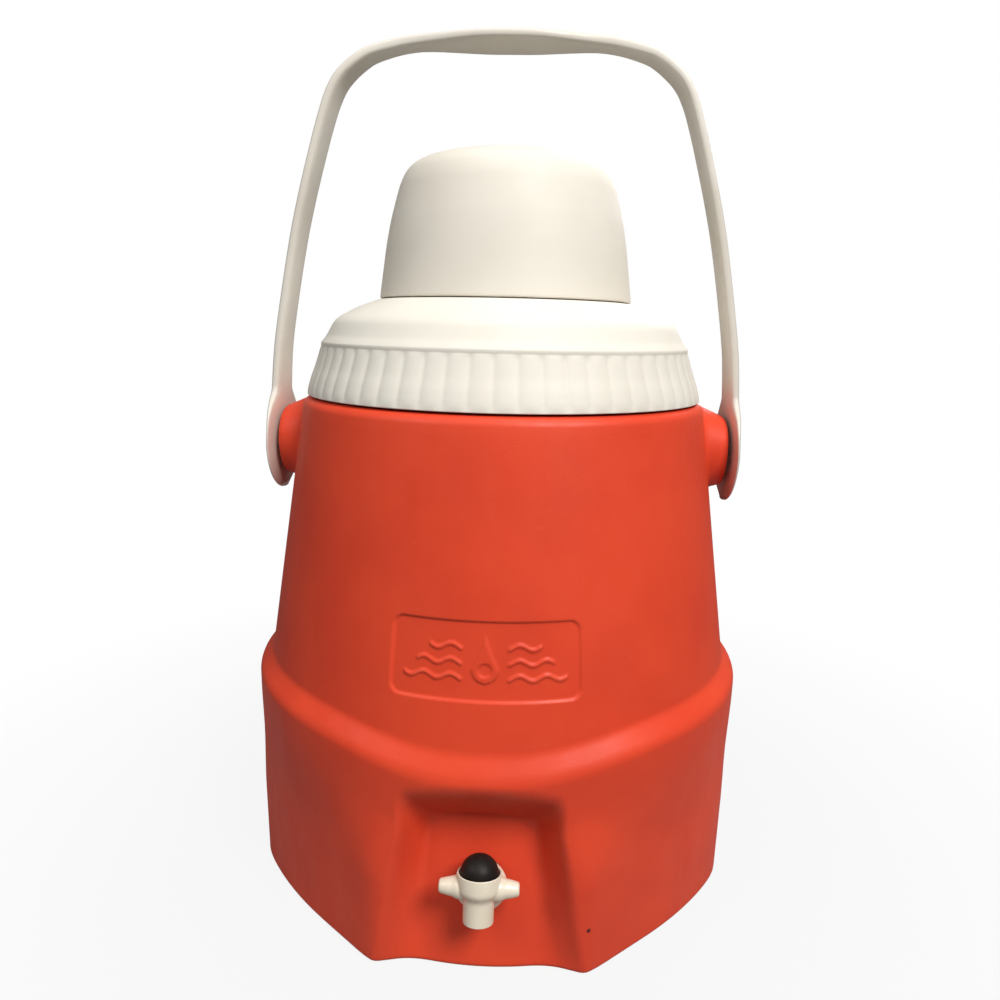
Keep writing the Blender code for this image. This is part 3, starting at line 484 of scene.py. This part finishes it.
# the dark nub left by the mould's gate: a low dome on the right front corner
def makeGateMark():
    angle = math.radians(gateMark["angle"])
    t = np.linspace(0.15, 1, 6) * np.pi / 2
    dome = turn(np.stack([gateMark["radius"] * np.sin(t), gateMark["proud"] * np.cos(t)], -1), 20)
    base = turn([(gateMark["radius"], -gateMark["rooted"])], 20)
    across = np.vstack([dome, base])
    away = float(bodyRadius(np.array(angle), np.array(gateMark["height"])))
    out = np.array([math.sin(angle), -math.cos(angle), 0])
    side = np.array([math.cos(angle), math.sin(angle), 0])
    up = np.array([0, 0, 1])
    centre = out * away + up * gateMark["height"]
    points = centre + across[..., :1] * side + across[..., 1:2] * up + across[..., 2:] * out
    crown, root = centre + gateMark["proud"] * out, centre - gateMark["rooted"] * out
    return gridPiece("gateMark", points, firstTip=crown, lastTip=root)


finishPiece(makeGateMark(), "jug", "orange_shell", finishes["gate mark"], "outer_shell")

boss = {
    "pivotZ": 199.6, "face": 105.2, "radius": 17.5, "reach": 25.5, "edgeRound": 1.3, "blendRound": 2.4,
    "socket": 12.4, "socketFloor": 103.4, "bore": 8.9, "boreEnd": 94.0, "flankSlope": 3.6,
    "sunkRim": 1.6, "upperTrim": 2.2, "upperSlopeLoss": 1.3, "rows": 46,
}


# a handle boss as x over polar (rho, turn) about the pivot: a face with a soft rim, a drafted flank that
# eases into the cone, and a longer slope towards the top of the body
def makeBoss(side):
    turnAngle = np.linspace(0, 2 * np.pi, 96, endpoint=False)[None]
    up = np.maximum(np.cos(turnAngle), 0)
    headroom = shell["top"] - 1.2 - boss["pivotZ"]
    limit = np.minimum(boss["reach"], headroom / np.maximum(np.cos(turnAngle), 0.3))
    faceRadius = boss["radius"] - boss["upperTrim"] * up**4
    share = np.linspace(0, 1, boss["rows"])[:, None]
    start = boss["socket"] + 0.5
    rho = start + (limit - start) * share
    slope = boss["flankSlope"] - boss["upperSlopeLoss"] * up**2
    height = softMin(boss["face"] + 0 * rho, boss["face"] - (rho - faceRadius) * slope, boss["edgeRound"])
    y, z = rho * np.sin(turnAngle), boss["pivotZ"] + rho * np.cos(turnAngle)
    radius = shell["topRadius"] + shell["slope"] * (shell["top"] - z)
    overTop = np.maximum(z - shell["top"] + shell["topRound"], 0)
    radius = radius - shell["topRound"] + np.sqrt(np.maximum(shell["topRound"] ** 2 - overTop**2, 0.01))
    skin = np.sqrt(np.maximum(radius**2 - y**2, 1)) - boss["sunkRim"] * easeStep(0.86, 1.0, share)
    height = softMax(height, skin, boss["blendRound"])
    surface = np.stack([side * height, y, z], -1)
    rings = []
    for ring, x in ((boss["bore"], boss["boreEnd"]), (boss["bore"], boss["socketFloor"]),
                    (boss["socket"], boss["socketFloor"]), (boss["socket"], boss["face"] - 0.5)):
        y, z = ring * np.sin(turnAngle), boss["pivotZ"] + ring * np.cos(turnAngle)
        rings.append(np.stack([side * x + 0 * turnAngle, y, z], -1))
    name = "handleBoss" + ("Right" if side > 0 else "Left")
    return gridPiece(name, np.vstack(rings + [surface]), closedRows=True)


for side in (-1, 1):
    finishPiece(makeBoss(side), "jug", "orange_shell", orangePlastic, "outer_shell")
print("handle bosses")


# screw lid

lid = {
    "lobes": 60, "lobeDepth": 0.55, "lobeFoot": 223.6, "lobeTop": 244.6, "skirtIn": 84.5,
    "skirtSpan": (222, 246), "threadStarts": 4, "threadRoot": 80.9, "threadCrest": 78.6,
    "threadFoot": 231.0, "threadLead": 16.0, "threadSweep": 60.0, "threadRunOut": 6,
}
lidOutline = [
    (91.9, 222.8, 0.5), (91.2, 226.4), (89.8, 230.9), (88.1, 235.3), (86.5, 240.2), (85.2, 244.4, 0.4),
    (85.25, 245.0, 0.3), (85.2, 246.0, 0.5), (82.8, 248.9), (80.6, 253.0, 1.5), (79.2, 255.4, 1.6),
    (76.9, 257.5, 2.0), (68.3, 262.2, 3.0), (59.6, 265.3, 1.5), (58.4, 265.6, 0.6), (53.6, 265.6, 0.6),
    (53.6, 276.0, 0.8), (51.4, 276.0, 0.6), (51.4, 265.6, 0.6), (8.4, 265.6, 0.3), (8.4, 263.0, 0.3),
    (57.5, 263.0), (66.9, 259.6), (77.2, 253.2), (80.4, 250.2, 0.5), (80.4, 226.0, 0.4),
    (82.0, 226.0, 0.4), (82.0, 241.5, 0.8), (83.2, 241.5, 0.8), (89.4, 222.8, 0.5),
]


# the turned outline, whose skirt is cut into lobes: the radius loses the lobe's depth times about the
# square of the distance from the middle of the lobe, which leaves a sharp valley between two lobes
def makeLid():
    profile = softCorners(lidOutline, 1.2, steps=3)
    low, high = lid["skirtSpan"]
    extra = []
    for k, (point, after) in enumerate(zip(profile, np.roll(profile, -1, axis=0))):
        extra.append(point)
        length = np.linalg.norm(after - point)
        if low < point[1] < high and point[0] > lid["skirtIn"] and length > 1.5:
            shares = np.linspace(0, 1, int(length / 1.2) + 1)[1:-1]
            extra.extend(point + (after - point) * t for t in shares)
    profile = np.array(extra)
    steps = lid["lobes"] * 12
    points = turn(profile, steps)
    angle = np.linspace(0, 2 * np.pi, steps, endpoint=False)[None]
    z, r = points[..., 2], np.hypot(points[..., 0], points[..., 1])
    inLobe = (angle * lid["lobes"] / (2 * np.pi)) % 1 * 2 - 1
    along = easeStep(lid["lobeFoot"] - 1.0, lid["lobeFoot"] + 1.2, z)
    along = along * (1 - easeStep(lid["lobeTop"] - 1.8, lid["lobeTop"] + 0.2, z))
    onSkirt = (r > lid["skirtIn"]) & (z > low + 0.5) & (z < high)
    cut = np.where(onSkirt, lid["lobeDepth"] * along * (np.abs(inLobe) ** 2.2 - 0.25), 0)
    points[..., :2] *= (1 - cut / r)[..., None]
    return gridPiece("lidTop", points, closedRows=True)


# the thread's ridges inside the skirt: a blunt section swept up a helix, whose ends run out to nothing
def makeThread(start):
    sweep = np.linspace(0, lid["threadSweep"], 25)[:, None]
    fade = np.minimum(1, np.minimum(sweep, lid["threadSweep"] - sweep) / lid["threadRunOut"] + 0.12)
    section = np.array([(0, -1.3), (1, -0.5), (1, 0.5), (0, 1.3)])
    radius = lid["threadRoot"] - (lid["threadRoot"] - lid["threadCrest"]) * section[:, 0] * fade
    angle = np.radians(sweep + 360 / lid["threadStarts"] * start)
    height = lid["threadFoot"] + lid["threadLead"] * sweep / 360 + section[:, 1] + 0 * radius
    points = np.stack([radius * np.cos(angle), radius * np.sin(angle), height], -1)
    name = "lidThread" + str(start + 1)
    return gridPiece(name, points, firstTip=points[0].mean(0), lastTip=points[-1].mean(0))


lidTop = finishPiece(makeLid(), "lid", "lid", finishes["lid plastic"], "lid_shell")
for start in range(lid["threadStarts"]):
    finishPiece(makeThread(start), "lid", "lid", finishes["lid plastic"], "lid_shell")
print("lid:", len(lidTop.data.polygons), "faces")


# drinking cup, upside down on the lid

cup = {"foot": 266.0, "top": 329.4, "wall": 2.2, "steps": 192}
cupOutline = [
    (58.3, 266.8), (57.7, 271.5), (56.4, 281.0), (55.1, 290.0), (53.4, 299.0), (51.8, 305.5),
    (50.3, 311.0), (48.9, 315.6), (47.2, 319.4), (45.6, 321.8), (43.6, 323.7), (41.2, 325.2),
    (38.2, 326.4), (34.5, 327.4), (30.0, 328.1), (24.0, 328.8), (18.0, 329.1), (9.0, 329.35),
    (2.0, 329.4),
]


# a smooth curve up the outside, the same curve moved in by the wall, and a rounded rim between them
def makeCup():
    outside = smoothPath(cupOutline, 5)
    step = np.gradient(outside, axis=0)
    normal = np.stack([step[:, 1], -step[:, 0]], -1)
    normal /= np.linalg.norm(normal, axis=1)[:, None]
    inside = outside - cup["wall"] * normal
    inside = inside[inside[:, 0] > 1.0][::-1]
    rimOut, foot = cupOutline[0][0], cup["foot"]
    rimIn = rimOut - cup["wall"]
    rim = [(rimIn + 0.1, foot + 0.6), (rimIn + 0.5, foot + 0.1)]
    rim += [(rimOut - 0.5, foot + 0.1), (rimOut - 0.05, foot + 0.5)]
    return gridPiece(
        "drinkingCup", turn(np.vstack([inside, rim, outside]), cup["steps"]),
        firstTip=np.array([0, 0, cup["top"] - cup["wall"]]), lastTip=np.array([0, 0, cup["top"]]),
    )


drinkingCup = finishPiece(makeCup(), "cup", "cup", finishes["cup plastic"], "drinking_cup")
print("cup:", len(drinkingCup.data.polygons), "faces")


# bail handle

handle = {
    "pivotZ": 199.6, "thick": 5.0, "strapHalf": 9.4, "gripHalf": 12.5, "neckHalf": 6.2, "gripFoot": 340,
    "paddleDome": 3.2, "paddleRadius": 25.0, "paddleEase": 5.0, "flare": 3.4, "flareSpan": 34,
    "gripSpan": (6, 44), "bendSpan": (48, 84), "domeSpan": (4, 52), "edgePower": 3.4,
    "studFar": 109.0, "studTip": 93.0,
}
handleLine = [
    (112.5, 174.6), (112.5, 187.0), (112.4, 199.6), (111.9, 209.9), (110.9, 223.3), (109.0, 244.0),
    (105.3, 266.4), (100.2, 292.5), (96.0, 310.0), (91.4, 326.6), (86.4, 343.2), (81.9, 355.4),
    (76.6, 363.9), (67.6, 371.4), (59.2, 375.2), (43.1, 378.7), (22.0, 379.6), (0.0, 379.8),
]


# half the strap's width: a circle round the pivot that eases into the strap, and a wider grip on top
def strapHalf(x, z):
    drop = np.clip((handle["pivotZ"] - z) / handle["paddleRadius"], 0, 1)
    lowerRound = handle["paddleRadius"] * np.sqrt(np.maximum(1 - drop**2, 0.0))
    above = np.maximum(z - handle["pivotZ"], 0)
    circle = handle["paddleRadius"] * np.sqrt(np.maximum(1 - (above / handle["paddleRadius"]) ** 2, 0))
    fromMiddle = np.abs(x)
    wider = handle["gripHalf"] - handle["neckHalf"]
    grip = handle["neckHalf"] + wider * (1 - easeStep(*handle["gripSpan"], fromMiddle))
    grip = grip + (handle["strapHalf"] - handle["neckHalf"]) * easeStep(*handle["bendSpan"], fromMiddle)
    strap = np.where(z > handle["gripFoot"], grip, handle["strapHalf"])
    strap = strap + handle["flare"] * np.exp(-((above / handle["flareSpan"]) ** 2))
    return np.where(z < handle["pivotZ"], lowerRound, softMax(circle, strap, handle["paddleEase"]))


# a section carried along the outer line: across follows the cosine and depth the sine, both raised to a
# power so that the section is a box with soft edges, and the foot closes as a round disc does; round the
# pivot the outer face falls away by the dome's height times the square of the distance from the pivot
def makeHandle():
    t = np.linspace(0.12, np.pi / 2, 18)
    footX, footZ = handleLine[0]
    foot = np.stack([footX + 0 * t, footZ + handle["paddleRadius"] * (1 - np.cos(t))], -1)
    line = smoothPath(handleLine[2:], 8)
    half = np.vstack([foot[:-1], line])
    path = np.vstack([half, half[-2::-1] * (-1, 1)])
    along = np.gradient(path, axis=0)
    along /= np.linalg.norm(along, axis=1)[:, None]
    inward = np.stack([-along[:, 1], along[:, 0]], -1)
    width = strapHalf(path[:, 0], path[:, 1])
    drop = np.clip((handle["pivotZ"] - path[:, 1]) / handle["paddleRadius"], 0, 1)
    thick = handle["thick"] / 2 * (1 - drop**5) ** 0.4
    v = np.linspace(0, 2 * np.pi, 48, endpoint=False)
    power = 2 / handle["edgePower"]
    across = np.sign(np.cos(v)) * np.abs(np.cos(v)) ** power
    depth = np.sign(np.sin(v)) * np.abs(np.sin(v)) ** power
    middle = path + inward * handle["thick"] / 2
    below = np.minimum(path[:, 1:] - handle["pivotZ"], 0)
    fromPivot = ((width[:, None] * across) ** 2 + below**2) / handle["paddleRadius"] ** 2
    low, high = handle["domeSpan"]
    nearPivot = 1 - easeStep(handle["pivotZ"] + low, handle["pivotZ"] + high, path[:, 1:])
    domed = handle["paddleDome"] * fromPivot * nearPivot * (1 - depth) / 2
    x = middle[:, :1] + inward[:, :1] * (thick[:, None] * depth + domed)
    z = middle[:, 1:] + inward[:, 1:] * (thick[:, None] * depth + domed)
    y = width[:, None] * across
    points = np.stack([x, y, z], -1)
    return gridPiece("bailHandle", points, firstTip=points[0].mean(0), lastTip=points[-1].mean(0))


bailHandle = finishPiece(makeHandle(), "handle", "handle", finishes["handle plastic"], "handle")


# a stud: a turned pin laid along X, with the step that snaps into the bush
def makeStud(side):
    far, tip, pivotZ = handle["studFar"], handle["studTip"], handle["pivotZ"]
    profile = softCorners([
        (6.0, far, 0.1), (6.0, 96.9, 0.3), (7.3, 96.9, 0.3), (7.3, 95.8, 0.4), (5.6, tip, 0.5),
        (0.6, tip, 0.1),
    ], 0.3, closed=False)
    points = turn(profile, 48)
    points = np.stack([side * points[..., 2], points[..., 0], points[..., 1] + pivotZ], -1)
    return gridPiece(
        "handleStud" + ("Right" if side > 0 else "Left"), points,
        firstTip=np.array([side * far, 0, pivotZ]), lastTip=np.array([side * tip, 0, pivotZ]),
    )


for side in (-1, 1):
    finishPiece(makeStud(side), "handle", "handle", finishes["handle plastic"], "handle")
print("handle:", len(bailHandle.data.polygons), "faces")


# push-button tap

tap = {
    "seatZ": 34.9, "barrelOut": 13.5, "rim": 10.4, "wingZ": 4.4, "wingRadius": 3.4, "wingRoot": 4.6,
    "wingSpan": 31.4, "domeRadius": 7.4, "domeHeight": 6.7, "hollowTop": 13.8,
}
seatY = recess["footY"] + tap["seatZ"] * math.tan(math.radians(recess["lean"]))
leanBack = Matrix.Rotation(-math.radians(recess["lean"]), 4, "X")
tapSeat = Matrix.Translation((0, seatY, tap["seatZ"])) @ leanBack
shankFrame = tapSeat @ Matrix.Rotation(-math.pi / 2, 4, "X")
barrelFrame = tapSeat @ Matrix.Translation((0, -tap["barrelOut"], 0))


# the turned barrel: the button's well above, a floor with the stem's hole, and the open spout below
def makeBarrel():
    outline = [
        (8.7, 10.4, 0.3), (8.7, 3.9, 1.5), (6.1, 1.1, 1.6), (6.0, -8.8, 0.5), (5.2, -8.8, 0.3),
        (5.0, -3.5, 0.2), (3.4, -3.5, 0.1), (3.4, -2.5, 0.1), (4.8, -2.5, 0.1), (4.8, 2.9, 0.1),
        (1.9, 2.9, 0.1), (1.9, 4.2, 0.1), (8.05, 4.2, 0.1), (8.05, 10.4, 0.3),
    ]
    points = turn(softCorners(outline, 0.3, steps=5), 96)
    return gridPiece("tapBarrel", placed(points, barrelFrame), closedRows=True)


# wings: a round bar across the barrel, its ends rounded and its middle a little thicker
def makeWings():
    end = tap["wingSpan"] / 2
    root, tip = tap["wingRoot"], tap["wingRadius"]
    outline = [(0.4, -end, 0.1), (tip - 0.9, -end, 1.2), (tip - 0.1, -end + 3.2, 1.6)]
    outline += [(tip + 0.2, -10.6, 1.2), (root, -8.2, 1.4), (root + 0.5, 0, 3.0)]
    outline += [(r, -z, cut) for r, z, cut in outline[-2::-1]]
    points = turn(softCorners(outline, 0.5, closed=False, steps=6), 56)
    points = np.stack([points[..., 2], points[..., 0], points[..., 1] + tap["wingZ"]], -1)
    return gridPiece(
        "tapWings", placed(points, barrelFrame),
        firstTip=placed(np.array([-end, 0, tap["wingZ"]]), barrelFrame),
        lastTip=placed(np.array([end, 0, tap["wingZ"]]), barrelFrame),
    )


# the turned shank through the wall: threaded end inside, seat flange and neck outside
def makeShank():
    outline = [
        (5.6, 25.5, 0.4), (5.6, -1.8, 0.2), (10.7, -1.8, 0.3), (10.7, -3.3, 0.7), (9.6, -3.9, 0.6),
        (7.2, -4.3, 1.2), (6.0, -9.0, 2.0), (5.6, -12.0, 0.3), (2.2, -12.0, 0.2), (2.2, 25.5, 0.3),
    ]
    return gridPiece("tapShank", placed(turn(softCorners(outline, 0.3), 96), shankFrame), closedRows=True)


for makePart in (makeBarrel, makeWings, makeShank):
    finishPiece(makePart(), "jug", "tap", finishes["tap plastic"], "tap_body")


# a hollow rubber dome: an ellipse above a straight skirt
def makeButton():
    t = np.linspace(0.06, np.pi / 2, 24)
    dome = np.stack([tap["domeRadius"] * np.sin(t), tap["rim"] + tap["domeHeight"] * np.cos(t)], -1)
    hollowTop = tap["hollowTop"]
    skirt = np.array([
        (tap["domeRadius"], 7.7), (7.5, 7.6), (5.6, 7.6), (5.6, 12.0), (5.2, 13.6), (4.4, hollowTop),
        (0.5, hollowTop),
    ])
    points = turn(np.vstack([dome, skirt]), 96)
    return gridPiece(
        "tapButton", placed(points, barrelFrame),
        firstTip=placed(np.array([0, 0, tap["rim"] + tap["domeHeight"]]), barrelFrame),
        lastTip=placed(np.array([0, 0, hollowTop]), barrelFrame),
    )


finishPiece(makeButton(), "button", "black_rubber", finishes["button rubber"], "tap_button")
print("tap")


# finishes of the parts that keep their own shape
nodeFinishes = {
    "base_cover": "orange shell plastic", "foam_fill_plug": "seal rubber",
    "insulation_foam": "insulating foam", "inner_liner": "liner plastic",
    "pivot_bush_left": "liner plastic", "pivot_bush_right": "liner plastic", "lid_inner": "lid plastic",
    "lid_foam": "insulating foam", "lid_gasket": "seal rubber", "vent_plug": "lid plastic",
    "vent_seal": "seal rubber", "tap_stem": "tap plastic", "tap_valve": "seal rubber",
    "tap_spring": "spring steel", "tap_stem_seal": "seal rubber", "tap_outer_gasket": "seal rubber",
    "tap_sleeve": "liner plastic", "tap_inner_gasket": "seal rubber", "tap_nut": "tap plastic",
}
for nodeName, finishName in nodeFinishes.items():
    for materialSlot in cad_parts[nodeName].material_slots:
        materialSlot.material = finishes[finishName]
print("inner parts finished:", len(nodeFinishes))


# floor, lights and camera; distances in metres, angles in degrees
studio = {
    "distance": 0.3819, "height": 0.2535, "azimuth": 2.5, "pitch": 12.273, "roll": 1.281, "yaw": -0.070,
    "focal": 28.31, "floorColour": (0.30, 0.30, 0.30), "floorFade": (0.12, 0.42), "floorSeen": 0.10,
    "floorHalf": 6.0, "skyLight": 0.13, "skySeen": 1.0, "aimHeight": 0.17,
}
lamps = {
    "keyLamp": {"place": (0.66, -0.92, 1.25), "size": 0.60, "power": 21.5, "colour": (1.0, 0.985, 0.96)},
    "fillLamp": {"place": (-0.55, -0.55, 0.80), "size": 0.45, "power": 2.3, "colour": (1.0, 0.99, 0.98)},
    "topLamp": {"place": (0.10, -0.10, 1.5), "size": 1.0, "power": 5.6, "colour": (1.0, 1.0, 1.0)},
    "backLamp": {"place": (0.5, 1.0, 0.9), "size": 0.8, "power": 5.0, "colour": (1.0, 1.0, 1.0)},
}


# a plain floor that fades out with distance and is mostly see-through to the camera
def makeFloor():
    mesh = bpy.data.meshes.new("studioFloor")
    size = studio["floorHalf"]
    corners = [(-size, -size, 0), (size, -size, 0), (size, size, 0), (-size, size, 0)]
    mesh.from_pydata(corners, [], [(0, 1, 2, 3)])
    floor = bpy.data.objects.new("studioFloor", mesh)
    bpy.context.scene.collection.objects.link(floor)
    bench = NodeBench("floor paint")
    shade = bench.remap(bench.noise(3, 2), 0.3, 0.7, 0, 1)
    tone = studio["floorColour"]
    colour = bench.blend(shade, tone, tuple(c * 0.985 for c in tone))
    bench.join(colour, bench.shader.inputs["Base Color"])
    bench.shader.inputs["Roughness"].default_value = 0.9
    bench.shader.inputs["Specular IOR Level"].default_value = 0.1
    away = bench.add("ShaderNodeVectorMath", operation="LENGTH")
    bench.join(bench.place, away.inputs[0])
    fade = bench.remap(away.outputs["Value"], studio["floorFade"][0], studio["floorFade"][1], 1, 0)
    seen = bench.add("ShaderNodeLightPath").outputs["Is Camera Ray"]
    faint = bench.remap(seen, 0, 1, 1, studio["floorSeen"])
    both = bench.add("ShaderNodeMath", operation="MULTIPLY")
    bench.join(fade, both.inputs[0])
    bench.join(faint, both.inputs[1])
    bench.join(both.outputs[0], bench.shader.inputs["Alpha"])
    mesh.materials.append(bench.material)


# disk lamps aimed at the jug, and a sky that is white to the camera and dim as a light
def makeLamps():
    aim = Vector((0, 0, studio["aimHeight"]))
    for name, facts in lamps.items():
        light = bpy.data.lights.new(name, "AREA")
        light.shape = "DISK"
        light.size = facts["size"]
        light.energy = facts["power"]
        light.color = facts["colour"]
        lamp = bpy.data.objects.new(name, light)
        lamp.location = facts["place"]
        lamp.rotation_euler = (aim - lamp.location).to_track_quat("-Z", "Y").to_euler()
        bpy.context.scene.collection.objects.link(lamp)
    world = bpy.data.worlds.new("studioSky")
    bpy.context.scene.world = world
    world.use_nodes = True
    tree = world.node_tree
    seen = tree.nodes.new("ShaderNodeLightPath").outputs["Is Camera Ray"]
    strength = tree.nodes.new("ShaderNodeMapRange")
    strength.inputs["To Min"].default_value = studio["skyLight"]
    strength.inputs["To Max"].default_value = studio["skySeen"]
    tree.links.new(seen, strength.inputs["Value"])
    tree.links.new(strength.outputs["Result"], tree.nodes["Background"].inputs["Strength"])
    tree.nodes["Background"].inputs["Color"].default_value = (1.0, 1.0, 1.0, 1.0)


# the camera stands out from the jug's axis, turned down by its pitch
def makeCamera():
    around = math.radians(studio["azimuth"])
    data = bpy.data.cameras.new("studioCamera")
    data.lens = studio["focal"]
    data.sensor_width = 36.0
    data.clip_start = 0.01
    camera = bpy.data.objects.new("studioCamera", data)
    out, pitch = studio["distance"], math.pi / 2 - math.radians(studio["pitch"])
    place = Vector((out * math.sin(around), -out * math.cos(around), studio["height"]))
    heading = around - math.radians(studio["yaw"])
    turned = Matrix.Rotation(heading, 4, "Z") @ Matrix.Rotation(pitch, 4, "X")
    roll = Matrix.Rotation(math.radians(studio["roll"]), 4, "Z")
    camera.matrix_world = Matrix.Translation(place) @ turned @ roll
    bpy.context.scene.collection.objects.link(camera)
    bpy.context.scene.camera = camera


makeFloor()
makeLamps()
makeCamera()
bpy.context.scene.view_settings.view_transform = "Standard"
print("studio set")
